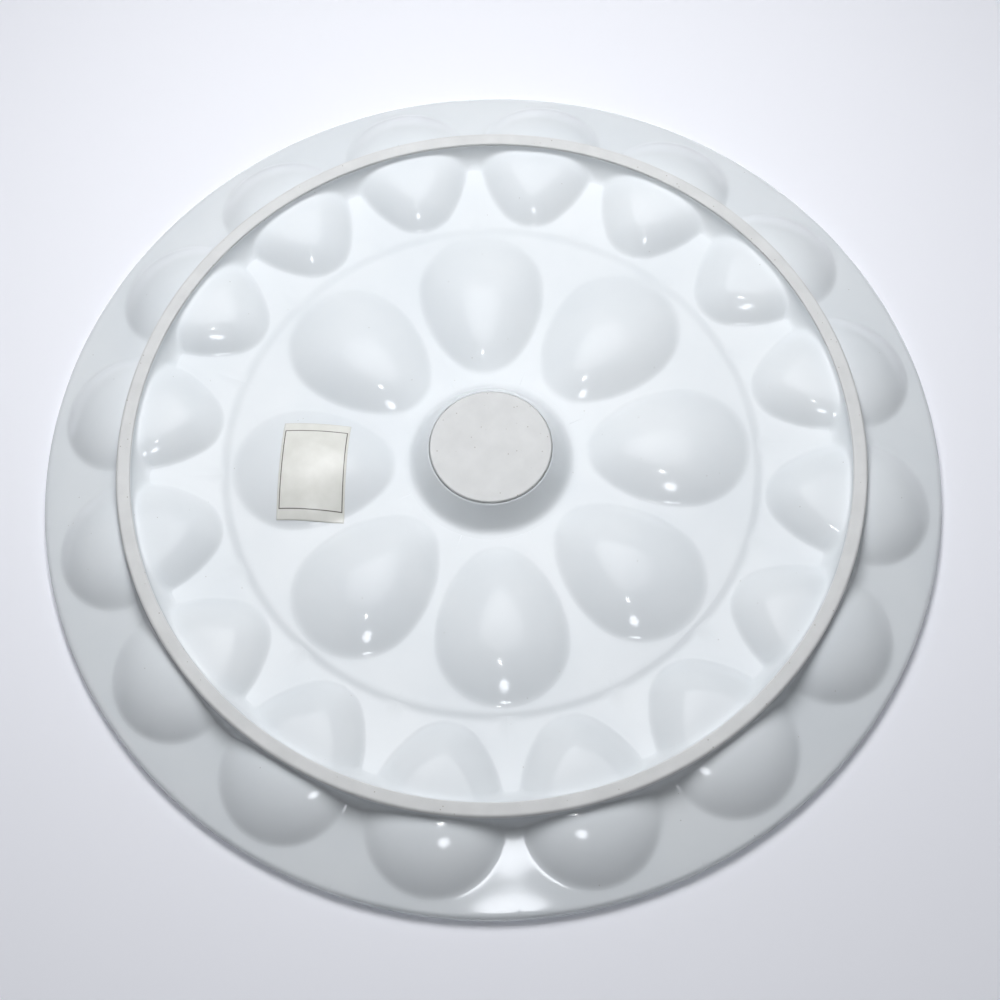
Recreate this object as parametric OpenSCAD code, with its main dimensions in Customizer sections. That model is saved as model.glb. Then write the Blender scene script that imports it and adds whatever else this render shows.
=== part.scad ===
// Deviled egg platter: a round glazed porcelain dish with sixteen egg wells
// round the flange, eight round the floor and a small dip well in the middle.
// It stands on a tall foot ring and on the closed foot under the dip well.
// The origin is the centre of the bearing plane, with the wells opening upwards.

/* [Platter] */
// Diameter over the rim
platter_d = 330; // [326:1:350]
// Height from the bearing plane to the top of the rim
platter_h = 22.5; // [21:0.5:27]
// Thickness of the porcelain in the floor and flange
wall_t = 4; // [3.4:0.1:4.6]
// Radius of the rolled edge
rim_r = 2.5; // [2.4:0.1:3]
// Radius of the bend between floor and flange, on the eating side
knee_r = 40; // [20:1:60]
// Radius at which the floor turns up into the flange
knee_at = 134; // [131:0.5:136]
// Height of the underside at that bend
knee_z = 8; // [7.4:0.1:9]

/* [Floor] */
// Height of the underside of the inner panel
panel_z = 11; // [10.6:0.1:11.4]
// Radius of the inner panel, up to the step round it
panel_r = 95; // [94:0.5:96]
// How far the floor steps up just outside the inner panel
step_h = 0.9; // [0.4:0.1:1.4]
// Width of that step
step_w = 2.6; // [1.5:0.1:3]

/* [Egg wells] */
// Number of wells round the flange
outer_count = 16; // [12:1:16]
// Number of wells round the inner panel
inner_count = 8; // [5:1:8]
// Distance of the flange wells from the centre
outer_at = 130; // [129:0.5:131]
// Distance of the inner wells from the centre
inner_at = 64.6; // [64:0.2:65.4]
// Length of a well, measured outside its wall
well_l = 60; // [58:0.5:61]
// Width of a well, measured outside its wall
well_w = 47.4; // [44:0.2:48]
// Height of the underside of every well
well_z = 4.3; // [4:0.1:4.8]
// Radius of the rounded underside of a well, along its length
well_long_r = 80; // [70:1:100]
// Radius of the rounded underside of a well, across its width
well_cross_r = 48; // [44:1:60]
// Thickness of the porcelain round a well
well_wall_t = 3.5; // [3:0.1:4]

/* [Foot ring] */
// Outer diameter of the foot ring at its bearing face
foot_d = 269.8; // [268:0.2:271]
// Width of the foot ring at its bearing face
foot_face_w = 5.1; // [4.5:0.1:6]
// How far the cove inside the foot ring reaches towards the middle
foot_cove = 12; // [8:0.1:13]
// How far the outer side of the foot ring flares out
foot_flare = 1.2; // [0.4:0.1:2]
// Depth of the unglazed face and radius of its rounded outer edge
foot_biscuit_t = 1.2; // [0.8:0.1:1.6]

/* [Centre foot and dip well] */
// Diameter of the unglazed face under the centre foot
hub_face_d = 43.6; // [40:0.2:46]
// Diameter of the centre foot where it meets the floor
hub_root_d = 57.8; // [56:0.2:60]
// Radius of the cove where the centre foot meets the floor
hub_cove_r = 3; // [1.5:0.1:4]
// Thickness under the dip well
hub_floor_t = 4; // [3:0.1:5]
// Thickness of the side of the dip well
hub_wall_t = 4; // [3:0.1:5]
// Radius of the turned edge inside the dip well
hub_edge_r = 6; // [4:0.1:8]
// Radius of the rounded lip of the dip well
hub_lip_r = 2; // [1:0.1:3]
// Depth of the unglazed face
hub_biscuit_t = 0.8; // [0.5:0.1:1.2]

/* [Stock label] */
// Length of the clear film label under one inner well
label_l = 35; // [25:0.5:36]
// Width of the label
label_w = 24; // [15:0.5:24.5]
// Thickness of the film
label_t = 0.15; // [0.1:0.05:0.3]
// Thickness of the bond between the film and the glaze
label_bond_t = 0.05; // [0.05:0.05:0.3]
// How far the label lies off the middle of the well
label_shift = 1.8; // [0:0.1:2.5]
// Turn of the label on the well, in degrees
label_turn = 5.6; // [0:0.2:12]

/* [Hidden] */
// sides of a circle where it is drawn as a mesh
$fn = 28;
// one overrun for every cut
over = 1;
// finest step that a worked-out size is rounded to, so that parts of an egg meet
grain = 0.001;
// chords in each small bend of a profile
bend_steps = 6;

platter_r = platter_d / 2;
foot_r = foot_d / 2;
foot_in = foot_r - foot_face_w;
hub_face_r = hub_face_d / 2;
hub_root_r = hub_root_d / 2;
hub_joint_r = hub_root_r + hub_cove_r;

// floor and flange are straight in section and meet in the bend; the middle
// line of the flange runs into the centre of the rolled edge
rim_at = platter_r - rim_r;
rim_z = platter_h - rim_r;
rim_run = rim_at - knee_at;
rim_rise = rim_z - knee_z;
flange_tilt = atan2(rim_rise, rim_run) - asin(wall_t / 2 / norm([rim_run, rim_rise]));
step_at = panel_r + step_w;
step_z = panel_z + step_h;
floor_tilt = atan2(knee_z - step_z, knee_at - step_at);
knee_half = (flange_tilt - floor_tilt) / 2;
knee_mid = (flange_tilt + floor_tilt) / 2;

// four-centre egg: a half circle for the broad end, two long flank arcs and a
// short arc for the narrow end, each tangent to the next; the seams beside the
// narrow end lie on a triangle with whole sides, so they meet on exact points
seam_shares = [21, 20, 29];
egg_unit = on_grain((well_l - well_w) / (seam_shares[0] + seam_shares[1] - seam_shares[2]));
egg_dx = seam_shares[0] * egg_unit;
flank_y = seam_shares[1] * egg_unit;
broad_r = on_grain(well_w / 2);
tip_r = broad_r + flank_y - seam_shares[2] * egg_unit;
flank_r = broad_r + flank_y;
broad_x = on_grain(well_l / 2) - broad_r;
tip_x = broad_x - egg_dx;

// side of the centre foot, and of the dip well inside it
hub_lean = atan2(hub_root_r - hub_face_r, panel_z);
dip_floor_r = hub_face_r + hub_floor_t * tan(hub_lean) - hub_wall_t / cos(hub_lean);
dip_top_z = panel_z + wall_t;
dip_top_r = dip_floor_r + (dip_top_z - hub_floor_t) * tan(hub_lean);

glaze = "whitesmoke";
biscuit = "gainsboro";
film = "antiquewhite";

function on_grain(v) = round(v / grain) * grain;

// underside of floor and flange, lifted by a share of the wall
function under_line(lift) = [
    [0, panel_z + lift],
    [panel_r, panel_z + lift],
    [step_at, step_z + lift],
    [knee_at, knee_z + lift]
];

// a point at a distance from another, square to a tilt in degrees
function square_off(from, dist, tilt) = from + dist * [-sin(tilt), cos(tilt)];

// points along an arc, from one direction to another
function bend(centre, r, from, to) = [
    for (i = [0:bend_steps])
        let (turn = from + (to - from) * i / bend_steps)
        centre + r * [cos(turn), sin(turn)]
];

// section of floor, flange and rolled edge
module plate_section() {
    rim = [rim_at, rim_z];
    knee = square_off([knee_at, knee_z], (wall_t + knee_r) / cos(knee_half), knee_mid);
    intersection() {
        polygon(concat(
            under_line(0),
            [square_off(rim, -wall_t / 2, flange_tilt), square_off(rim, wall_t / 2, flange_tilt)],
            bend(knee, knee_r, flange_tilt - 90, floor_tilt - 90),
            [[step_at, step_z + wall_t], [panel_r, panel_z + wall_t], [0, panel_z + wall_t]]
        ));
        translate([hub_joint_r, 0]) square([platter_r, platter_h]);
    }
    translate(rim) circle(rim_r);
}

// everything below the middle of the wall, down to the bearing plane
module below_section() {
    polygon(concat([[rim_at, 0], [0, 0]], under_line(wall_t / 2), [[rim_at, rim_z]]));
}

// egg-shaped outline with its broad end towards +x, drawn in by an inset
module egg_outline(inset) {
    far_x = tip_x - egg_dx;
    far_y = 2 * flank_y;
    // broad end
    translate([broad_x, 0]) intersection() {
        circle(broad_r - inset);
        translate([0, -far_y]) square([well_l, 2 * far_y]);
    }
    // flanks, up to the seams with both ends
    for (side = [-1, 1]) intersection() {
        translate([broad_x, -side * flank_y]) circle(flank_r - inset);
        polygon([
            [broad_x, -side * flank_y],
            [broad_x, side * far_y],
            [far_x, side * far_y],
            [far_x, side * flank_y]
        ]);
    }
    // narrow end
    intersection() {
        translate([tip_x, 0]) circle(tip_r - inset);
        polygon([[tip_x, 0], [far_x, flank_y], [far_x, -flank_y]]);
    }
}

// bowl with an egg-shaped outline: the long arc of its underside is swung about
// a level axis, which gives it the shorter radius across
module egg(inset, top_z) {
    reach = well_l + 2 * over;
    intersection() {
        translate([0, 0, well_z - over]) linear_extrude(top_z - well_z + over) egg_outline(inset);
        translate([0, 0, well_z + well_cross_r])
            rotate([0, 90, 0])
            rotate_extrude()
            intersection() {
                translate([well_cross_r - well_long_r, 0]) circle(well_long_r - inset);
                translate([0, -reach / 2]) square([reach, reach]);
            }
    }
}

// the outside of one well, up to the middle of the floor and flange
module dome(at) {
    intersection() {
        translate([at, 0, 0]) egg(0, platter_h);
        rotate_extrude() below_section();
    }
}

// the hollow of one well
module hollow(at) {
    translate([at, 0, 0]) egg(well_wall_t, platter_h + over);
}

module round_flange() {
    for (i = [0:outer_count - 1]) rotate([0, 0, (i + 0.5) * 360 / outer_count]) children();
}

module round_floor() {
    for (i = [0:inner_count - 1]) rotate([0, 0, i * 360 / inner_count]) children();
}

// pressed body: floor, flange and rolled edge, with the wells sunk into it
module platter_body() {
    color(glaze) difference() {
        union() {
            rotate_extrude() plate_section();
            round_flange() dome(outer_at);
            round_floor() dome(inner_at);
        }
        round_flange() hollow(outer_at);
        round_floor() hollow(inner_at);
    }
}

// glazed part of the foot ring, cut to fit the floor and the wells above it
module foot_ring() {
    // the cove is a quarter of an ellipse, upright at the face and level in the
    // middle of the floor
    top_z = lookup(foot_in - foot_cove, under_line(wall_t / 2));
    cove = [for (i = [0:bend_steps])
        let (turn = 90 * i / bend_steps)
        [foot_in - foot_cove * (1 - cos(turn)), foot_biscuit_t + (top_z - foot_biscuit_t) * sin(turn)]];
    color(glaze) difference() {
        rotate_extrude() difference() {
            intersection() {
                polygon(concat(cove, [[foot_r + foot_flare, top_z], [foot_r, foot_biscuit_t]]));
                below_section();
            }
            plate_section();
        }
        round_flange() dome(outer_at);
    }
}

// unglazed face that the platter stands on, rounded on its outer edge
module foot_ring_face() {
    flat_r = foot_r - foot_biscuit_t;
    color(biscuit) rotate_extrude() {
        translate([foot_in, 0]) square([flat_r - foot_in, foot_biscuit_t]);
        translate([flat_r, foot_biscuit_t]) intersection() {
            circle(foot_biscuit_t);
            translate([0, -foot_biscuit_t]) square(foot_biscuit_t);
        }
    }
}

// closed cup in the middle of the floor: a foot outside and a dip well inside
module centre_foot() {
    bend_in = tan((90 - hub_lean) / 2);
    color(glaze) rotate_extrude() polygon(concat(
        [[0, hub_biscuit_t], [hub_face_r + hub_biscuit_t * tan(hub_lean), hub_biscuit_t]],
        bend([hub_root_r + hub_cove_r * bend_in, panel_z - hub_cove_r], hub_cove_r, 180 - hub_lean, 90),
        [[hub_joint_r, panel_z], [hub_joint_r, dip_top_z]],
        bend([dip_top_r + hub_lip_r * bend_in, dip_top_z - hub_lip_r], hub_lip_r, 90, 180 - hub_lean),
        bend([dip_floor_r - hub_edge_r * bend_in, hub_floor_t + hub_edge_r], hub_edge_r, -hub_lean, -90),
        [[0, hub_floor_t]]
    ));
}

// unglazed disc under the centre foot
module centre_foot_face() {
    color(biscuit) cylinder(h = hub_biscuit_t, r1 = hub_face_r, r2 = hub_face_r + hub_biscuit_t * tan(hub_lean));
}

// clear film label that follows the underside of one inner well
module stock_label() {
    turn = floor(inner_count / 2) * 360 / inner_count;
    top_z = panel_z;
    color(film) rotate([0, 0, turn]) difference() {
        intersection() {
            translate([inner_at, 0, 0]) egg(-label_bond_t - label_t, top_z);
            translate([inner_at, -label_shift, 0])
                rotate([0, 0, label_turn])
                translate([-label_w / 2, -label_l / 2, 0])
                cube([label_w, label_l, top_z]);
        }
        translate([inner_at, 0, 0]) egg(-label_bond_t, top_z + over);
    }
}

platter_body();
foot_ring();
foot_ring_face();
centre_foot();
centre_foot_face();
stock_label();
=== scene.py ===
import math

import bmesh
import bpy
import numpy as np
from mathutils import Matrix, Vector


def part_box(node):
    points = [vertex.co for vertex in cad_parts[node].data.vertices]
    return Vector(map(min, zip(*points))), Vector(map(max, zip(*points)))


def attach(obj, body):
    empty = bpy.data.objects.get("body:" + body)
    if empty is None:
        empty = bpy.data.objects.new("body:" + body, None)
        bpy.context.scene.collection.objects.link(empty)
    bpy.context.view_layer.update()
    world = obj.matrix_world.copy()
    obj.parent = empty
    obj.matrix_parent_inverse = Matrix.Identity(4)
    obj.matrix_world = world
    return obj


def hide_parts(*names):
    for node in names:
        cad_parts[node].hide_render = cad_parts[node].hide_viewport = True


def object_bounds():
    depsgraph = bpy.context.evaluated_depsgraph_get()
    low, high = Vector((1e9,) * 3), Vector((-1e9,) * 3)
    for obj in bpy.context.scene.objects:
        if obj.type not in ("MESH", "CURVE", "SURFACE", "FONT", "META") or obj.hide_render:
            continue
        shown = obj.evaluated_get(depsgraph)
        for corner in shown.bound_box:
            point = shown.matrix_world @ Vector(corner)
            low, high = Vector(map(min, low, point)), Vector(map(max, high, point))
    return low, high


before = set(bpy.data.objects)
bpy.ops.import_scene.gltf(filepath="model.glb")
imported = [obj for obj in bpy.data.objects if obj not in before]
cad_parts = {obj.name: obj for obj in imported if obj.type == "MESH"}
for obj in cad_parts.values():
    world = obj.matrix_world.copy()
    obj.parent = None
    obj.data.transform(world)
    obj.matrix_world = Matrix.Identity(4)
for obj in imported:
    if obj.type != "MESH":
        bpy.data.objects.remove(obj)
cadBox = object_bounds()
print("frame loaded:", sorted(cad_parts))

mm = 0.001
bodyName = "root"
weldDistance = 0.002  # millimetres


# colours, nodes and meshes that every piece shares

def hexColour(text):
    # sRGB hex to linear: each channel divided by 12.92, or raised to 2.4 above the knee
    channels = np.array([int(text[i:i + 2], 16) for i in (1, 3, 5)]) / 255
    linear = np.where(channels <= 0.04045, channels / 12.92, ((channels + 0.055) / 1.055) ** 2.4)
    return (*[float(c) for c in linear], 1.0)


def addNode(tree, kind, settings=None, links=None):
    # one node; settings are properties, socket values by name or number, or a colour ramp's two stops, and
    # links are socket name or number to source socket
    node = tree.nodes.new(kind)
    for name, value in (settings or {}).items():
        if name == "stops":
            for element, (place, colour) in zip(node.color_ramp.elements, value):
                element.position, element.color = place, hexColour(colour)
        elif isinstance(name, int) or name in node.inputs:
            node.inputs[name].default_value = value
        else:
            setattr(node, name, value)
    for name, source in (links or {}).items():
        tree.links.new(source, node.inputs[name])
    return node


def newMaterial(name):
    # a material with an empty node tree
    material = bpy.data.materials.new(name)
    material.use_nodes = True
    material.node_tree.nodes.clear()
    return material, material.node_tree


def addPiece(name, points, faces, material, nodes, weld=0.0):
    # points in millimetres; the mesh is closed, so its normals are turned outwards after the weld
    mesh = bpy.data.meshes.new(name)
    mesh.from_pydata((points * mm).tolist(), [], faces)
    shape = bmesh.new()
    shape.from_mesh(mesh)
    if weld:
        bmesh.ops.remove_doubles(shape, verts=shape.verts, dist=weld * mm)
    bmesh.ops.recalc_face_normals(shape, faces=shape.faces)
    openEdges = sum(1 for edge in shape.edges if len(edge.link_faces) != 2)
    shape.to_mesh(mesh)
    shape.free()
    mesh.materials.append(material)
    mesh.polygons.foreach_set("use_smooth", np.ones(len(mesh.polygons), dtype=bool))
    piece = bpy.data.objects.new(name, mesh)
    bpy.context.scene.collection.objects.link(piece)
    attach(piece, bodyName)
    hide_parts(*nodes)
    triangles = sum(len(face) - 2 for face in faces)
    print(f"{name}: {triangles} triangles, {openEdges} open edges")
    return piece


def gridFaces(rows, columns, closedRows=False, closedColumns=True, start=0):
    # quads between neighbouring rows and columns of a grid of points, worked out as one array
    r = np.arange(rows if closedRows else rows - 1)
    c = np.arange(columns if closedColumns else columns - 1)
    r, c = np.meshgrid(r, c, indexing="ij")
    r2, c2 = (r + 1) % rows, (c + 1) % columns
    quads = np.stack([r * columns + c, r * columns + c2, r2 * columns + c2, r2 * columns + c], axis=-1)
    return (quads.reshape(-1, 4) + start).tolist()


def fanFaces(middle, first, columns):
    # triangles from one point to each side of the closed ring of points that starts at first
    k = np.arange(columns)
    return np.stack([np.full(columns, middle), first + k, first + (k + 1) % columns], axis=1).tolist()


def turnsOf(steps):
    # equal turns round the axis, in radians
    return np.arange(steps) * 2 * math.pi / steps


def carryRound(r, z, turn):
    # a profile carried round the axis: x and y are its radius times the cosine and sine of the turn
    return np.stack([np.outer(r, np.cos(turn)), np.outer(r, np.sin(turn)), np.outer(z, np.ones_like(turn))],
                    axis=-1)


def smoothStep(t):
    # three t squared minus two t cubed, between zero and one
    t = np.clip(t, 0, 1)
    return t * t * (3 - 2 * t)


def softMin(heights, sharp):
    # minus the logarithm of the summed exponentials: the lowest height, with its corners filled
    heights = np.stack(np.broadcast_arrays(*heights))
    lowest = heights.min(axis=0)
    return lowest - np.log(np.exp(-sharp * (heights - lowest)).sum(axis=0)) / sharp


# glazed porcelain body: rim, flange, floor and the egg wells

platter = {
    "radius": (cadBox[1][0] - cadBox[0][0]) / 2 / mm,
    "height": cadBox[1][2] / mm,
    "rimRadius": 2.5,
    "wall": 4.0,
    "panelRadius": 95.0,
    # the glaze fills the step, so it is lower and wider than the bare body's
    "stepHeight": 0.6,
    "stepWidth": 4.4,
    "kneeRadius": 134.0,
    "kneeZ": 8.6,
    "kneeLift": 0.94,
    "hubRadius": 31.9,
    # sharpness is one over the millimetres that a soft corner fills
    "cornerSharpness": 2.8,
    "lipSharpness": 1.3,
    "rimTaperStart": 146.0,
    "topRollRun": 3.0,
    # the floor's cells end at the first radius, the flange's at the second
    "joinRadius": 97.3,
    "rimEnd": 164.6,
}
platter["panelZ"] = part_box("centre_foot")[1][2] / mm - platter["wall"]

well = {
    "flangeCount": 16,
    "floorCount": 8,
    "flangeAt": 130.0,
    "floorAt": 64.6,
    "length": 60.0,
    "width": 47.4,
    "wall": 3.5,
    "edgeLift": 0.4,
    "outlineSteps": 720,
    "kneeWindow": 161,
    "leanCosine": 0.9,
    "shareLimit": 3.0,
    # on the flange the bowl leans outwards, so its lowest point lies nearer to the centre of the platter
    "flange": {"bottom": 3.2, "lowestAt": -11.0, "innerPower": 2.0, "outerPower": 3.2},
    "floor": {"bottom": 3.5, "lowestAt": 0.0, "innerPower": 2.1, "outerPower": 2.1},
}

# how finely the body is drawn: insets are millimetres from the egg outline, outwards positive
bodyMesh = {
    "innerSteps": 8,
    "sideSteps": 16,
    "outerSteps": 16,
    "sideCrowding": 1.6,
    "endStep": 0.22,
    "middleShares": (0.25, 0.5, 0.75),
    "insetsUnder": [-12, -10.4, -8.8, -7.4, -6.2, -5.1, -4.2, -3.4, -2.7, -2.0, -1.3, -0.6, 0.1],
    "insetsTop": [-12, -10.4, -9, -7.8, -6.8, -6, -5.3, -4.7, -4.2, -3.7, -3.2, -2.7, -2.2, -1.6, -1, -0.3],
    "blendUnder": 17,
    "blendTop": 13,
    "rollPoints": 9,
    "jointPoints": 4,
}

rimAt = platter["radius"] - platter["rimRadius"]
rimZ = platter["height"] - platter["rimRadius"]
stepEnd = platter["panelRadius"] + platter["stepWidth"]
stepZ = platter["panelZ"] + platter["stepHeight"]
flangeRun, flangeRise = rimAt - platter["kneeRadius"], rimZ - platter["kneeZ"]
wallTilt = math.asin(platter["wall"] / 2 / math.hypot(flangeRun, flangeRise))
flangeTilt = math.atan2(flangeRise, flangeRun) - wallTilt
floorSlope = (platter["kneeZ"] - stepZ) / (platter["kneeRadius"] - stepEnd)
rollStart = rimAt + platter["rimRadius"] * math.sin(flangeTilt)

# the egg outline is four arcs, tangent to each other: broad end, two flanks and narrow end. The centres of
# the broad end, the narrow end and a flank are the corners of a right triangle with sides as 20, 21 and 29
seam = {"out": 20, "back": 21, "across": 29}
eggUnit = (well["length"] - well["width"]) / (seam["out"] + seam["back"] - seam["across"])
broadR = well["width"] / 2
broadX = well["length"] / 2 - broadR
flankY = seam["out"] * eggUnit
flankR = broadR + flankY
tipX = broadX - seam["back"] * eggUnit
tipR = flankR - seam["across"] * eggUnit


def eggArcs(x, y):
    # centre and radius of the arc whose sector holds each point; the seam between a flank and the narrow end
    # lies on the line through their centres
    side = np.where(y < 0, -1.0, 1.0)
    broad = x >= broadX
    tip = ~broad & (x < tipX) & (np.abs(y) * seam["back"] <= (tipX - x) * seam["out"])
    centreX = np.where(tip, tipX, broadX)
    centreY = np.where(broad | tip, 0.0, -side * flankY)
    radius = np.where(broad, broadR, np.where(tip, tipR, flankR))
    return centreX, centreY, radius


def wellPlaces():
    # kind, distance from the axis and turn of every well; those on the flange stand half a step round
    flangeTurns = turnsOf(well["flangeCount"]) + math.pi / well["flangeCount"]
    flange = [("flange", well["flangeAt"], turn) for turn in flangeTurns]
    floor = [("floor", well["floorAt"], turn) for turn in turnsOf(well["floorCount"])]
    return flange + floor


def panelAndStep(r):
    # underside of the inner panel and of the step round it
    rise = smoothStep((r - platter["panelRadius"]) / platter["stepWidth"])
    return platter["panelZ"] + platter["stepHeight"] * rise


def rollReach(r):
    # how far the rolled rim reaches above and below its centre: half a chord of its circle
    return np.sqrt(np.maximum(platter["rimRadius"] ** 2 - (r - rimAt) ** 2, 0))


def plateUnder(r):
    # inner panel, step, floor sloping to the knee, and the flange, which thickens from half its wall to the
    # radius of the rolled rim and so runs into the roll without a corner
    floorLine = stepZ + (r - stepEnd) * floorSlope
    taper = smoothStep((r - platter["rimTaperStart"]) / (rollStart - platter["rimTaperStart"]))
    half = platter["wall"] / 2 + (platter["rimRadius"] - platter["wall"] / 2) * taper
    flangeLine = rimZ + (r - rimAt) * math.tan(flangeTilt) - half / math.cos(flangeTilt)
    straight = np.where(r < stepEnd, panelAndStep(r), np.maximum(floorLine, flangeLine))
    return np.where(r < rollStart, straight, rimZ - rollReach(r))


def plateTop(r):
    # the same course on the eating side, with the knee drawn as a hyperbola
    floorLine = stepZ + platter["wall"] + (r - stepEnd) * floorSlope
    flangeLine = rimZ + (r - rimAt) * math.tan(flangeTilt) + platter["wall"] / 2 / math.cos(flangeTilt)
    knee = (floorLine + flangeLine) / 2 + np.hypot((floorLine - flangeLine) / 2, platter["kneeLift"])
    straight = np.where(r < stepEnd, panelAndStep(r) + platter["wall"], knee)
    share = smoothStep((r - rimAt) / platter["topRollRun"] + 1)
    return straight * (1 - share) + (rimZ + rollReach(r)) * share


def outlineTable(kind):
    # seen from the lowest point of a well: the egg outline's directions and reaches, from points spaced
    # along its arcs by their normals, and the height of the plate's underside on the outline
    at, lowestAt = well[kind + "At"], well[kind]["lowestAt"]
    normal = np.linspace(0, math.pi, well["outlineSteps"] + 1)
    broad = normal <= math.pi / 2
    tip = normal >= math.pi - math.atan2(seam["out"], seam["back"])
    centreX = np.where(tip, tipX, broadX)
    centreY = np.where(broad | tip, 0.0, -flankY)
    radius = np.where(broad, broadR, np.where(tip, tipR, flankR))
    x, y = centreX + radius * np.cos(normal), centreY + radius * np.sin(normal)
    edge = plateUnder(np.hypot(x + at, y)) + well["edgeLift"]
    # a raised cosine rubs out the kink where the outline crosses the knee
    window = np.hanning(well["kneeWindow"] + 2)[1:-1]
    padded = np.pad(edge, well["kneeWindow"] // 2, mode="reflect")
    edge = np.convolve(padded, window / window.sum(), mode="valid")
    return np.arctan2(y, x - lowestAt), np.hypot(x - lowestAt, y), edge


outlineTables = {kind: outlineTable(kind) for kind in ("flange", "floor")}


def wellHeights(x, y, inset, thickness):
    # each well is a bowl in its own axes: bottom plus rise times a power of the share, where the share is
    # zero at the lowest point and one on the outline, and the rise brings the outline up to the plate
    heights = []
    for kind, at, turn in wellPlaces():
        form, (turns, reaches, edges) = well[kind], outlineTables[kind]
        alongX = x * math.cos(turn) + y * math.sin(turn) - at - form["lowestAt"]
        alongY = np.abs(-x * math.sin(turn) + y * math.cos(turn))
        towards = np.arctan2(alongY, alongX)
        share = np.hypot(alongX, alongY) / (np.interp(towards, turns, reaches) - inset)
        rise = np.interp(towards, turns, edges) - form["bottom"]
        outwards = smoothStep((np.cos(towards) / well["leanCosine"] + 1) / 2)
        power = form["innerPower"] + (form["outerPower"] - form["innerPower"]) * outwards
        bowl = rise * np.minimum(share, well["shareLimit"]) ** power
        heights.append(form["bottom"] + thickness + bowl)
    return heights


def underside(x, y):
    # the lower of the plate and the wells, with soft corners
    plate = plateUnder(np.hypot(x, y))
    return softMin([plate] + wellHeights(x, y, 0.0, 0.0), platter["cornerSharpness"])


def topside(x, y):
    # the same on the eating side, where the wells are set in and raised by their wall
    plate = plateTop(np.hypot(x, y))
    return softMin([plate] + wellHeights(x, y, well["wall"], well["wall"]), platter["lipSharpness"])


def cellBoundary(innerR, outerR, count):
    # corner to corner round one sector of the plate: inner arc, side, outer arc, side; the points of a side
    # lie closer together towards the outer arc
    half = math.pi / count
    inner, side, outer = bodyMesh["innerSteps"], bodyMesh["sideSteps"], bodyMesh["outerSteps"]
    left = (1 - np.linspace(0, 1, side + 1)) ** bodyMesh["sideCrowding"]
    reach = innerR + (outerR - innerR) * (1 - left)
    r = np.concatenate([np.full(inner, innerR), reach[:-1], np.full(outer, outerR), reach[:0:-1]])
    turn = np.concatenate([np.linspace(-half, half, inner + 1)[:-1], np.full(side, half),
                           np.linspace(half, -half, outer + 1)[:-1], np.full(side, -half)])
    return r * np.cos(turn), r * np.sin(turn)


def cellRings(at, boundary, insets, blendSteps):
    # rings run from the middle of the well out to the sector's boundary along normals of the egg:
    # first equal offsets of the outline, then shares of what is left, close together at both ends
    edgeX, edgeY = boundary[0] - at, boundary[1]
    centreX, centreY, radius = eggArcs(edgeX, edgeY)
    reach = np.hypot(edgeX - centreX, edgeY - centreY)
    normalX, normalY = (edgeX - centreX) / reach, (edgeY - centreY) / reach
    gap = reach - radius
    steps = bodyMesh["endStep"] + np.sin(np.pi * (np.arange(blendSteps) + 0.5) / blendSteps)
    shares = np.cumsum(steps) / steps.sum()
    offsets = [np.full_like(gap, inset) for inset in insets]
    offsets = np.array(offsets + [insets[-1] + (gap - insets[-1]) * share for share in shares])
    x = centreX + (radius + offsets) * normalX
    y = centreY + (radius + offsets) * normalY
    middle = np.array(bodyMesh["middleShares"])[:, None]
    return np.vstack([x[0] * middle, x]) + at, np.vstack([y[0] * middle, y])


def cellSheet(at, turn, rings, start):
    # one sector of one side: rings of quads and a fan at the middle of the well
    x = rings[0] * math.cos(turn) - rings[1] * math.sin(turn)
    y = rings[0] * math.sin(turn) + rings[1] * math.cos(turn)
    middle = np.array([[at * math.cos(turn), at * math.sin(turn)]])
    plan = np.vstack([middle, np.stack([x.ravel(), y.ravel()], axis=1)])
    columns = x.shape[1]
    return plan, fanFaces(start, start + 1, columns) + gridFaces(x.shape[0], columns, start=start + 1)


def closingWall(r, z, steps):
    # a profile round the axis whose first and last rows lie on the two sides of the body
    turn = turnsOf(steps)
    wall = carryRound(r, z, turn)
    wall[0, :, 2] = underside(wall[0, :, 0], wall[0, :, 1])
    wall[-1, :, 2] = topside(wall[-1, :, 0], wall[-1, :, 1])
    return wall


def buildBody(material):
    # two height surfaces over the well cells, closed by the rolled rim and by a wall at the centre foot
    edges = {"flange": cellBoundary(platter["joinRadius"], platter["rimEnd"], well["flangeCount"]),
             "floor": cellBoundary(platter["hubRadius"], platter["joinRadius"], well["floorCount"])}
    points, faces, count = [], [], 0
    for surface, side in ((underside, "Under"), (topside, "Top")):
        insets, blendSteps = bodyMesh["insets" + side], bodyMesh["blend" + side]
        rings = {kind: cellRings(well[kind + "At"], edge, insets, blendSteps) for kind, edge in edges.items()}
        for kind, at, turn in wellPlaces():
            plan, cellFaces = cellSheet(at, turn, rings[kind], count)
            points.append(np.column_stack([plan, surface(plan[:, 0], plan[:, 1])]))
            faces += cellFaces
            count += len(plan)
    reach = math.acos((platter["rimEnd"] - rimAt) / platter["rimRadius"])
    angles = np.linspace(-reach, reach, bodyMesh["rollPoints"])
    rollR = rimAt + platter["rimRadius"] * np.cos(angles)
    rollZ = rimZ + platter["rimRadius"] * np.sin(angles)
    roll = closingWall(rollR, rollZ, bodyMesh["outerSteps"] * well["flangeCount"])
    jointZ = platter["panelZ"] + np.linspace(0, platter["wall"], bodyMesh["jointPoints"])
    joint = closingWall(np.full_like(jointZ, platter["hubRadius"]), jointZ,
                        bodyMesh["innerSteps"] * well["floorCount"])
    for wall in (roll, joint):
        faces += gridFaces(wall.shape[0], wall.shape[1], start=count)
        points.append(wall.reshape(-1, 3))
        count += wall.shape[0] * wall.shape[1]
    points = np.vstack(points)
    addPiece("porcelain_body", points, faces, material, ["platter_body"], weld=weldDistance)


# glazed foot ring, turned on the body

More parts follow.
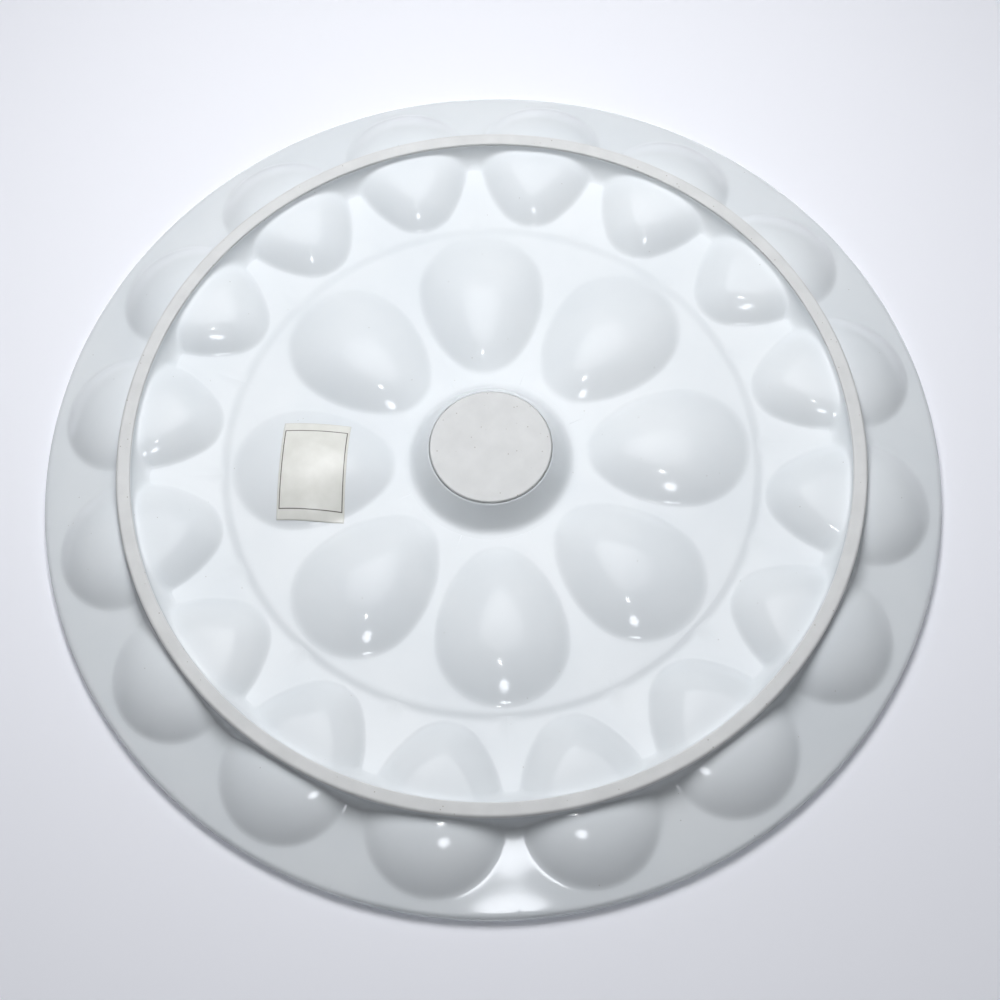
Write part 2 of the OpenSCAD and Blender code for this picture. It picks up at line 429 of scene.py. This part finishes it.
footRing = {
    "innerRadius": 129.8,
    "outerRadius": 134.9,
    "biscuitDepth": 1.2,
    "coveRun": 9.0,
    "coveRise": 8.8,
    "flareRun": 3.0,
    "flareRise": 9.0,
    "cornerSharpness": 1.2,
    # the ends of the sides rise past the underside, so that the body takes over there, and are tucked into it
    "endLift": 5.0,
    "liftPower": 4,
    "endTuck": 0.2,
    "tuckFrom": 0.4,
    "hiddenDepth": 1.0,
    "sidePoints": 15,
    "hiddenPoints": 12,
    "steps": 512,
    # bare face: the round inside, and how far from the ring's rounds its flat part keeps
    "faceRound": 0.5,
    "faceRoundSteps": 5,
    "flatFromInside": 1.1,
    "flatFromOutside": 0.6,
    "flatPoints": 4,
    "outerRoundSteps": 8,
}


def buildFootRing(material):
    # each side is a quarter ellipse that runs into the underside by a soft minimum of heights, and the hidden
    # top follows the underside inside the body
    ring = footRing
    t = np.linspace(math.pi / 2, 0, ring["sidePoints"])
    climb = t / (math.pi / 2)
    lift = ring["endLift"] * climb ** ring["liftPower"]
    innerR = ring["innerRadius"] - ring["coveRun"] * (1 - np.cos(t))
    innerZ = ring["biscuitDepth"] + ring["coveRise"] * np.sin(t) + lift
    outerR = (ring["outerRadius"] + ring["flareRun"] * (1 - np.cos(t)))[::-1]
    outerZ = (ring["biscuitDepth"] + ring["flareRise"] * np.sin(t) + lift)[::-1]
    hiddenR = np.linspace(outerR[-1], innerR[0], ring["hiddenPoints"])
    allR = np.concatenate([innerR, outerR, hiddenR])
    points = carryRound(allR, np.zeros_like(allR), turnsOf(ring["steps"]))
    under = underside(points[..., 0], points[..., 1])
    sides = 2 * ring["sidePoints"]
    profile = np.concatenate([innerZ, outerZ])[:, None]
    tuck = ring["endTuck"] * smoothStep((climb - ring["tuckFrom"]) / (1 - ring["tuckFrom"]))
    tucks = np.concatenate([tuck, tuck[::-1]])[:, None]
    points[:sides, :, 2] = softMin([under[:sides], profile], ring["cornerSharpness"]) + tucks
    points[sides:, :, 2] = under[sides:] + ring["hiddenDepth"]
    points[[ring["sidePoints"] - 1, ring["sidePoints"]], :, 2] = ring["biscuitDepth"]
    faces = gridFaces(len(allR), ring["steps"], closedRows=True)
    addPiece("foot_ring_glazed", points.reshape(-1, 3), faces, material, ["foot_ring"])


def revolve(name, profile, steps, material, nodes):
    # a closed profile of (radius, height) points carried round the axis; where it starts and ends on the
    # axis, fans close it at the poles
    r, z = np.array(profile).T
    points = carryRound(r, z, turnsOf(steps)).reshape(-1, 3)
    closed = r[0] > 0
    faces = gridFaces(len(r), steps, closedRows=closed)
    if not closed:
        last = (len(r) - 1) * steps
        faces = faces[steps:-steps] + fanFaces(0, steps, steps) + fanFaces(last, last - steps, steps)
    addPiece(name, points, faces, material, nodes, weld=0 if closed else weldDistance)


def arcPoints(centreR, centreZ, radius, start, end, steps):
    # points round an arc in the section: the centre plus the radius times the cosine and sine; in degrees
    turn = np.radians(np.linspace(start, end, steps + 1))
    return list(zip(centreR + radius * np.cos(turn), centreZ + radius * np.sin(turn)))


def buildFootFace(material):
    # wiped bare face: a small round inside, a wide round outside
    ring = footRing
    innerR, small, depth = ring["innerRadius"], ring["faceRound"], ring["biscuitDepth"]
    roundR = ring["outerRadius"] - depth
    profile = arcPoints(innerR + small, small, small, 180, 270, ring["faceRoundSteps"])
    flat = np.linspace(innerR + ring["flatFromInside"], roundR - ring["flatFromOutside"], ring["flatPoints"])
    profile += [(r, 0.0) for r in flat]
    profile += arcPoints(roundR, depth, depth, -90, 0, ring["outerRoundSteps"])
    profile += [(innerR, depth)]
    revolve("foot_ring_bare_face", profile, ring["steps"], material, ["foot_ring_face"])


# centre foot and dip well

centreFoot = {
    "faceRadius": 21.8,
    "rootRadius": 28.9,
    "floorThickness": 4.0,
    "wallThickness": 4.0,
    "edgeRadius": 6.0,
    "biscuitDepth": 0.8,
    "coveSharpness": 0.9,
    "lipSharpness": 1.1,
    # both sides run on to this radius, sunk into the body from about the joint on
    "blendRadius": 36.5,
    "endTuck": 0.1,
    "tuckRun": 2.4,
    "hiddenShares": (0.3, 0.5, 0.7),
    "underInset": 0.6,
    "dipMiddle": 6.0,
    "outerPoints": 26,
    "innerPoints": 24,
    "edgeSteps": 12,
    "steps": 256,
    # bare face: the round at its edge, how far in its flat part ends, and its hidden top
    "faceRound": 0.45,
    "faceRoundIn": 0.9,
    "faceRoundSteps": 5,
    "flatInset": 1.2,
    "flatPoints": 8,
    "topInset": 2.0,
}
footLean = math.atan2(centreFoot["rootRadius"] - centreFoot["faceRadius"], platter["panelZ"])


def leaningSide(radii, startR, startZ, surface, sharp, tuck):
    # a cone that leans outwards from one radius and height runs into a surface of the body by a soft minimum
    # of heights, and past the joint it is sunk by the tuck
    foot = centreFoot
    side = carryRound(radii, startZ + (radii - startR) / math.tan(footLean), turnsOf(foot["steps"]))
    sunk = tuck * smoothStep((radii - platter["hubRadius"]) / foot["tuckRun"] + 0.25)
    side[..., 2] = softMin([surface(side[..., 0], side[..., 1]), side[..., 2]], sharp) + sunk[:, None]
    return side


def buildCentreFoot(material):
    # rows from the underside to the eating side: inner face, leaning side, a wall hidden in the body, side of
    # the dip well, its round edge and its floor
    foot, lean = centreFoot, footLean
    depth, floorZ, edgeR = foot["biscuitDepth"], foot["floorThickness"], foot["edgeRadius"]
    turn = turnsOf(foot["steps"])
    sideR = foot["faceRadius"] + depth * math.tan(lean)
    dipR = foot["faceRadius"] + floorZ * math.tan(lean) - foot["wallThickness"] / math.cos(lean)
    dipSideR = dipR + edgeR * (1 - math.sin(lean)) * math.tan(lean)
    outerR = np.linspace(sideR, foot["blendRadius"], foot["outerPoints"])
    innerR = np.linspace(foot["blendRadius"], dipSideR, foot["innerPoints"])
    outer = leaningSide(outerR, foot["faceRadius"], 0.0, underside, foot["coveSharpness"], foot["endTuck"])
    inner = leaningSide(innerR, dipR, floorZ, topside, foot["lipSharpness"], -foot["endTuck"])
    hidden = outer[-1] + (inner[0] - outer[-1]) * np.array(foot["hiddenShares"])[:, None, None]
    edgeAt = dipR - edgeR * math.tan((math.pi / 2 - lean) / 2)
    edge = arcPoints(edgeAt, floorZ + edgeR, edgeR, -math.degrees(lean), -90, foot["edgeSteps"])
    floorR, floorHeights = np.array(edge[1:] + [(foot["dipMiddle"], floorZ), (0.0, floorZ)]).T
    innerFace = carryRound([0.0, sideR - foot["underInset"]], [depth, depth], turn)
    rows = np.concatenate([innerFace, outer, hidden, inner, carryRound(floorR, floorHeights, turn)])
    points, faces = rows.reshape(-1, 3), gridFaces(len(rows), foot["steps"])
    addPiece("centre_foot_glazed", points, faces, material, ["centre_foot"], weld=weldDistance)


def buildCentreFace(material):
    # wiped bare face: a flat disc whose round edge meets the leaning side
    foot, lean = centreFoot, math.degrees(footLean)
    faceR, depth, small = foot["faceRadius"], foot["biscuitDepth"], foot["faceRound"]
    roundR = faceR - small * foot["faceRoundIn"]
    profile = [(r, 0.0) for r in np.linspace(0, faceR - foot["flatInset"], foot["flatPoints"])]
    profile += arcPoints(roundR, small, small, -90, -lean, foot["faceRoundSteps"])
    profile += [(faceR + depth * math.tan(footLean), depth), (faceR - foot["topInset"], depth), (0.0, depth)]
    revolve("centre_foot_bare_face", profile, foot["steps"], material, ["centre_foot_face"])


# clear film label on one floor well

label = {
    "length": 37.8,
    "width": 24.3,
    "shift": 2.3,
    "turn": 5.6,
    "thickness": 0.12,
    "lift": 0.03,
    "acrossPoints": 49,
    "alongPoints": 73,
    "frameLength": 30.3,
    "frameWidth": 22.5,
    "frameLine": 0.35,
    # the printed line fades between these shares of its width
    "lineFade": (0.35, 0.65),
    # long creases in millimetres: depth, slope, place along the label, width, and where across the label they
    # start and over what run; a run below zero goes the other way
    "creases": [
        {"depth": 0.10, "slope": 0.35, "at": 9.5, "width": 1.1, "start": -13.0, "run": 8.0},
        {"depth": 0.08, "slope": -0.25, "at": 14.5, "width": 0.8, "start": 9.0, "run": -8.0},
        {"depth": 0.07, "slope": -0.6, "at": -13.0, "width": 0.9, "start": -4.0, "run": 9.0},
    ],
}


def buildLabel(material):
    # a grid over the rectangle, laid on the underside; each crease is its depth times a bell curve of the
    # distance to its line, and fades in along the line
    across, along = np.linspace(-1, 1, label["acrossPoints"]), np.linspace(-1, 1, label["alongPoints"])
    u, v = np.meshgrid(across * label["width"] / 2, along * label["length"] / 2, indexing="ij")
    crease = np.zeros_like(u)
    for fold in label["creases"]:
        bell = np.exp(-((v - fold["slope"] * u - fold["at"]) / fold["width"]) ** 2)
        crease += fold["depth"] * bell * smoothStep((u - fold["start"]) / fold["run"])
    turn = math.radians(label["turn"])
    x = -(u * math.cos(turn) - v * math.sin(turn) + well["floorAt"])
    y = -(u * math.sin(turn) + v * math.cos(turn) - label["shift"])
    near = underside(x, y) - label["lift"]
    far = near - label["thickness"] - crease
    rows, columns = x.shape
    count = rows * columns
    points = np.vstack([np.stack([x, y, z], axis=-1).reshape(-1, 3) for z in (far, near)])
    sheet = gridFaces(rows, columns, closedColumns=False)
    faces = sheet + [[index + count for index in face[::-1]] for face in sheet]
    index = np.arange(count).reshape(rows, columns)
    rim = np.concatenate([index[0, :], index[1:, -1], index[-1, -2::-1], index[-2:0:-1, 0]])
    following = np.roll(rim, -1)
    faces += np.stack([rim, following, following + count, rim + count], axis=1).tolist()
    piece = addPiece("stock_label_film", points, faces, material, ["stock_label"])
    # the film's own millimetres, so that its printed frame follows the sheet
    flat = np.stack([u.ravel(), v.ravel()], axis=1)
    both = np.vstack([flat, flat])
    layer = piece.data.uv_layers.new(name="filmMap")
    corners = np.empty(len(piece.data.loops), dtype=np.int64)
    piece.data.loops.foreach_get("vertex_index", corners)
    layer.data.foreach_set("uv", both[corners].ravel())


# materials: sizes are in millimetres, and a spot is a share of the distance between spots

glazeLook = {
    "tints": ((0.3, "#DFE4E7"), (0.7, "#E6EAEC")),
    "cloudSize": 40.0,
    "cloudDetail": 3.0,
    "spotColour": "#B9BAB6",
    "spotSpacing": 7.0,
    "spotEdge": (0.022, 0.03),
    "spotStrength": 1.0,
    "roughness": (0.07, 0.13),
    "peelSize": 6.0,
    "peelStrength": 0.35,
    "peelDepth": 0.03,
    "refraction": 1.5,
}
biscuitLook = {
    "tints": ((0.3, "#D2D3D2"), (0.7, "#DBDCDB")),
    "cloudSize": 9.0,
    "cloudDetail": 5.0,
    "spotColour": "#A39F97",
    "spotSpacing": 3.2,
    "spotEdge": (0.05, 0.09),
    "spotStrength": 0.85,
    "roughness": 0.72,
    # real grit is about 0.3 across, drawn wider so that it shows
    "gritSize": 0.6,
    "gritStrength": 0.5,
    "gritDepth": 0.04,
    "refraction": 1.5,
}
filmLook = {
    "tints": ((0.3, "#DDDDD6"), (0.7, "#E6E6E0")),
    "cloudSize": 6.25,
    "cloudDetail": 4.0,
    "frameColour": "#6B6660",
    "roughness": 0.24,
    "rippleSize": 4.0,
    "rippleStrength": 0.5,
    "rippleDepth": 0.08,
    "refraction": 1.49,
}


def spottedColour(tree, place, look):
    # two close tints that drift with a cloud, and a spot where the surface meets the middle of a cell
    cloud = addNode(tree, "ShaderNodeTexNoise",
                    {"Scale": 1 / (look["cloudSize"] * mm), "Detail": look["cloudDetail"]}, {"Vector": place})
    tint = addNode(tree, "ShaderNodeValToRGB", {"stops": look["tints"]}, {"Fac": cloud.outputs["Fac"]})
    cells = addNode(tree, "ShaderNodeTexVoronoi", {"Scale": 1 / (look["spotSpacing"] * mm)},
                    {"Vector": place})
    near, far = look["spotEdge"]
    spot = addNode(tree, "ShaderNodeMapRange",
                   {"From Min": near, "From Max": far, "To Min": look["spotStrength"], "To Max": 0.0},
                   {"Value": cells.outputs["Distance"]})
    colour = addNode(tree, "ShaderNodeMix", {"data_type": "RGBA", 7: hexColour(look["spotColour"])},
                     {"Factor": spot.outputs["Result"], 6: tint.outputs["Color"]})
    return colour.outputs[2], cloud.outputs["Fac"]


def glazedPorcelain():
    # hard-paste porcelain under a clear feldspathic glaze, dipped and fired: cool white, with mirror
    # highlights that waver a little over the orange peel of the glaze, which is about 0.01 mm deep
    material, tree = newMaterial("glazedPorcelain")
    look, place = glazeLook, addNode(tree, "ShaderNodeTexCoord").outputs["Object"]
    colour, cloud = spottedColour(tree, place, look)
    smooth, dull = look["roughness"]
    gloss = addNode(tree, "ShaderNodeMapRange", {"To Min": smooth, "To Max": dull}, {"Value": cloud})
    peel = addNode(tree, "ShaderNodeTexNoise", {"Scale": 1 / (look["peelSize"] * mm), "Detail": 2.0},
                   {"Vector": place})
    bump = addNode(tree, "ShaderNodeBump",
                   {"Strength": look["peelStrength"], "Distance": look["peelDepth"] * mm},
                   {"Height": peel.outputs["Fac"]})
    shader = addNode(tree, "ShaderNodeBsdfPrincipled", {"IOR": look["refraction"]},
                     {"Base Color": colour, "Roughness": gloss.outputs["Result"],
                      "Normal": bump.outputs["Normal"]})
    addNode(tree, "ShaderNodeOutputMaterial", links={"Surface": shader.outputs["BSDF"]})
    return material


def barePorcelain():
    # the same body wiped clean of glaze before firing: matte, slightly warm, with fine grit and pin specks
    material, tree = newMaterial("bareFiredPorcelain")
    look, place = biscuitLook, addNode(tree, "ShaderNodeTexCoord").outputs["Object"]
    colour = spottedColour(tree, place, look)[0]
    grit = addNode(tree, "ShaderNodeTexNoise", {"Scale": 1 / (look["gritSize"] * mm), "Detail": 4.0},
                   {"Vector": place})
    bump = addNode(tree, "ShaderNodeBump",
                   {"Strength": look["gritStrength"], "Distance": look["gritDepth"] * mm},
                   {"Height": grit.outputs["Fac"]})
    shader = addNode(tree, "ShaderNodeBsdfPrincipled",
                     {"IOR": look["refraction"], "Roughness": look["roughness"]},
                     {"Base Color": colour, "Normal": bump.outputs["Normal"]})
    addNode(tree, "ShaderNodeOutputMaterial", links={"Surface": shader.outputs["BSDF"]})
    return material


def frameMask(tree, uv):
    # the larger of the two distances past the frame's middle line; the mask is one where that is small
    split = addNode(tree, "ShaderNodeSeparateXYZ", links={"Vector": uv})
    sides = {}
    for socket, (axis, full) in enumerate((("X", label["frameWidth"]), ("Y", label["frameLength"]))):
        size = addNode(tree, "ShaderNodeMath", {"operation": "ABSOLUTE"}, {0: split.outputs[axis]})
        past = addNode(tree, "ShaderNodeMath", {"operation": "SUBTRACT", 1: full / 2}, {0: size.outputs[0]})
        sides[socket] = past.outputs[0]
    outer = addNode(tree, "ShaderNodeMath", {"operation": "MAXIMUM"}, sides)
    away = addNode(tree, "ShaderNodeMath", {"operation": "ABSOLUTE"}, {0: outer.outputs[0]})
    near, far = [label["frameLine"] * share for share in label["lineFade"]]
    line = addNode(tree, "ShaderNodeMapRange",
                   {"From Min": near, "From Max": far, "To Min": 1.0, "To Max": 0.0},
                   {"Value": away.outputs[0]})
    return line.outputs["Result"]


def filmLabel():
    # clear polypropylene film over its cream adhesive: satin and slightly rippled, with a thin printed frame
    material, tree = newMaterial("clearFilmLabel")
    look, uv = filmLook, addNode(tree, "ShaderNodeUVMap", {"uv_map": "filmMap"}).outputs["UV"]
    cloud = addNode(tree, "ShaderNodeTexNoise",
                    {"Scale": 1 / look["cloudSize"], "Detail": look["cloudDetail"]}, {"Vector": uv})
    tint = addNode(tree, "ShaderNodeValToRGB", {"stops": look["tints"]}, {"Fac": cloud.outputs["Fac"]})
    colour = addNode(tree, "ShaderNodeMix", {"data_type": "RGBA", 7: hexColour(look["frameColour"])},
                     {"Factor": frameMask(tree, uv), 6: tint.outputs["Color"]})
    ripple = addNode(tree, "ShaderNodeTexNoise", {"Scale": 1 / look["rippleSize"], "Detail": 2.0},
                     {"Vector": uv})
    bump = addNode(tree, "ShaderNodeBump",
                   {"Strength": look["rippleStrength"], "Distance": look["rippleDepth"] * mm},
                   {"Height": ripple.outputs["Fac"]})
    shader = addNode(tree, "ShaderNodeBsdfPrincipled",
                     {"IOR": look["refraction"], "Roughness": look["roughness"]},
                     {"Base Color": colour.outputs[2], "Normal": bump.outputs["Normal"]})
    addNode(tree, "ShaderNodeOutputMaterial", links={"Surface": shader.outputs["BSDF"]})
    return material


glaze, biscuit, film = glazedPorcelain(), barePorcelain(), filmLabel()
buildBody(glaze)
buildFootRing(glaze)
buildFootFace(biscuit)
buildCentreFoot(glaze)
buildCentreFace(biscuit)
buildLabel(film)
print("pieces made")


# stage: the table that the upturned platter lies on, and a floor for views from above

stage = {
    "radii": (0.3, 0.8, 2.0, 8.0),
    "edges": 96,
    "gap": 0.1 * mm,
    # the table ends this far under the rim, and with no hole a sheet closes at the small radius
    "holeInset": 1.5 * mm,
    "middle": 0.001,
    "tableColour": "#F1F2F7",
    "floorColour": "#BCBDC0",
    "backdrop": "#F1F2F5",
    "worldColour": "#F3F5F9",
    "worldStrength": 0.04,
    # the floor's glow rises between these distances, in metres from its middle
    "glowStart": 0.2,
    "glowEnd": 1.5,
    "floorGlow": 0.92,
}


def oneSided(name, colour, glow):
    # matte paint, clear from behind; the glow keeps the far floor as light as the backdrop
    material, tree = newMaterial(name)
    place = addNode(tree, "ShaderNodeTexCoord")
    away = addNode(tree, "ShaderNodeVectorMath", {"operation": "LENGTH"}, {0: place.outputs["Object"]})
    rise = addNode(tree, "ShaderNodeMapRange",
                   {"interpolation_type": "SMOOTHSTEP", "From Min": stage["glowStart"],
                    "From Max": stage["glowEnd"], "To Min": 0.0, "To Max": glow},
                   {"Value": away.outputs["Value"]})
    paint = addNode(tree, "ShaderNodeBsdfDiffuse", {"Color": hexColour(colour)})
    light = addNode(tree, "ShaderNodeEmission", {"Color": hexColour(stage["backdrop"])},
                    {"Strength": rise.outputs["Result"]})
    both = addNode(tree, "ShaderNodeAddShader",
                   links={0: paint.outputs["BSDF"], 1: light.outputs["Emission"]})
    facing = addNode(tree, "ShaderNodeNewGeometry")
    clear = addNode(tree, "ShaderNodeBsdfTransparent")
    mix = addNode(tree, "ShaderNodeMixShader", links={"Fac": facing.outputs["Backfacing"],
                                                      1: both.outputs["Shader"], 2: clear.outputs["BSDF"]})
    addNode(tree, "ShaderNodeOutputMaterial", links={"Surface": mix.outputs["Shader"]})
    return material


def addPlane(name, height, holeRadius, facingUp, colour, glow):
    # a flat sheet round a hole; with no hole it closes at the middle
    edges = stage["edges"]
    radii = np.array([max(holeRadius, stage["middle"]), *stage["radii"]])
    points = carryRound(radii, np.full(len(radii), height), turnsOf(edges)).reshape(-1, 3)
    faces = gridFaces(len(radii), edges)
    if holeRadius == 0:
        faces.append(list(range(edges))[::-1])
    mesh = bpy.data.meshes.new(name)
    mesh.from_pydata(points.tolist(), [], faces)
    mesh.update()
    if (mesh.polygons[0].normal.z > 0) != facingUp:
        mesh.flip_normals()
    mesh.materials.append(oneSided(name + "Paint", colour, glow))
    plane = bpy.data.objects.new(name, mesh)
    bpy.context.scene.collection.objects.link(plane)
    plane.visible_shadow = False
    return plane


tableHole = platter["radius"] * mm - stage["holeInset"]
addPlane("table", cadBox[1][2] + stage["gap"], tableHole, False, stage["tableColour"], 0.0)
floor = addPlane("floor", cadBox[0][2] - stage["gap"], 0, True, stage["floorColour"], stage["floorGlow"])
floor.visible_diffuse = False
floor.visible_glossy = False
floor.visible_transmission = False


# camera: the photograph's view, from a fit to the rim, foot ring, centre foot and wells

photo = {
    "width": 1000,
    "focal": 1737.6,
    "distance": 645.2,
    "elevation": 66.56,
    "roll": -2.31,
    "slide": (-3.0, 10.52),
    "turn": -1.11,
    "sensor": 36.0,
    # metres
    "clip": (0.01, 50.0),
}


def photoToPlatter(point):
    # the photograph has the platter upside down: after a turn about the upright axis y changes sign, and z
    # is counted down from the platter's height
    turn = math.radians(photo["turn"])
    x = point[0] * math.cos(turn) - point[1] * math.sin(turn)
    y = point[0] * math.sin(turn) + point[1] * math.cos(turn)
    return Vector((x, -y, platter["height"] - point[2]))


def addCamera():
    # the camera looks along minus back; the elevation tips its axes and the roll turns them about its view
    elevation, roll = math.radians(photo["elevation"]), math.radians(photo["roll"])
    right = Vector((1, 0, 0))
    up = Vector((0, math.sin(elevation), math.cos(elevation)))
    back = Vector((0, -math.cos(elevation), math.sin(elevation)))
    rolledRight = right * math.cos(roll) + up * math.sin(roll)
    rolledUp = up * math.cos(roll) - right * math.sin(roll)
    place = back * photo["distance"] - rolledRight * photo["slide"][0] - rolledUp * photo["slide"][1]
    origin = photoToPlatter(Vector((0, 0, 0)))
    axes = [photoToPlatter(axis) - origin for axis in (rolledRight, rolledUp, back)]
    data = bpy.data.cameras.new("photoCamera")
    data.sensor_width = photo["sensor"]
    data.lens = photo["sensor"] * photo["focal"] / photo["width"]
    data.clip_start, data.clip_end = photo["clip"]
    camera = bpy.data.objects.new("photoCamera", data)
    bpy.context.scene.collection.objects.link(camera)
    camera.matrix_world = Matrix.Translation(photoToPlatter(place) * mm) @ Matrix(axes).transposed().to_4x4()
    bpy.context.scene.camera = camera


addCamera()


# lamps: places are right, away and up in metres over the table of the photograph, sizes in metres and power
# in watts; a lamp that isn't mirrored lights the glaze but leaves no highlight

lamps = {
    "ceiling": {"place": (-0.02, 0.16, 0.5), "size": 0.28, "power": 2.15, "colour": "#FBFCFF",
                "mirrored": False},
    "panel": {"place": (0, 0.45, 1.5), "size": 1.3, "power": 6.2, "colour": "#FBFCFF", "mirrored": True},
    "bulb": {"place": (-0.07, -0.36, 1.5), "size": 0.06, "power": 0.5, "colour": "#FFFFFF", "mirrored": True},
    "window": {"place": (0.0, -0.8, 1.4), "size": 0.22, "power": 1.5, "colour": "#F6F9FF", "mirrored": True},
}


def addLamp(name, spec, aboveFloor):
    # a disc lamp aimed at the middle; it has a twin on the other side, for the views from above
    data = bpy.data.lights.new(name, "AREA")
    data.shape, data.size = "DISK", spec["size"]
    data.energy = spec["power"]
    data.color = hexColour(spec["colour"])[:3]
    lamp = bpy.data.objects.new(name, data)
    bpy.context.scene.collection.objects.link(lamp)
    place = photoToPlatter(Vector(spec["place"]) / mm) * mm
    if aboveFloor:
        place = Vector((place.x, place.y, -place.z))
    lamp.location = place
    lamp.rotation_euler = (-place).to_track_quat("-Z", "Y").to_euler()
    lamp.visible_glossy = spec["mirrored"]


for lampName, lampSpec in lamps.items():
    addLamp(lampName + "Below", lampSpec, False)
    addLamp(lampName + "Above", lampSpec, True)


def setWorld():
    # soft grey light all round, and the pale backdrop where the camera looks past the floor
    world = bpy.data.worlds.new("studio")
    bpy.context.scene.world = world
    world.use_nodes = True
    tree = world.node_tree
    tree.nodes.clear()
    path = addNode(tree, "ShaderNodeLightPath")
    soft = addNode(tree, "ShaderNodeBackground",
                   {"Color": hexColour(stage["worldColour"]), "Strength": stage["worldStrength"]})
    seen = addNode(tree, "ShaderNodeBackground", {"Color": hexColour(stage["backdrop"]), "Strength": 1.0})
    mix = addNode(tree, "ShaderNodeMixShader", links={"Fac": path.outputs["Is Camera Ray"],
                                                      1: soft.outputs["Background"],
                                                      2: seen.outputs["Background"]})
    addNode(tree, "ShaderNodeOutputWorld", links={"Surface": mix.outputs["Shader"]})


setWorld()
bpy.context.scene.view_settings.view_transform = "Standard"
print("stage, camera and lamps set")
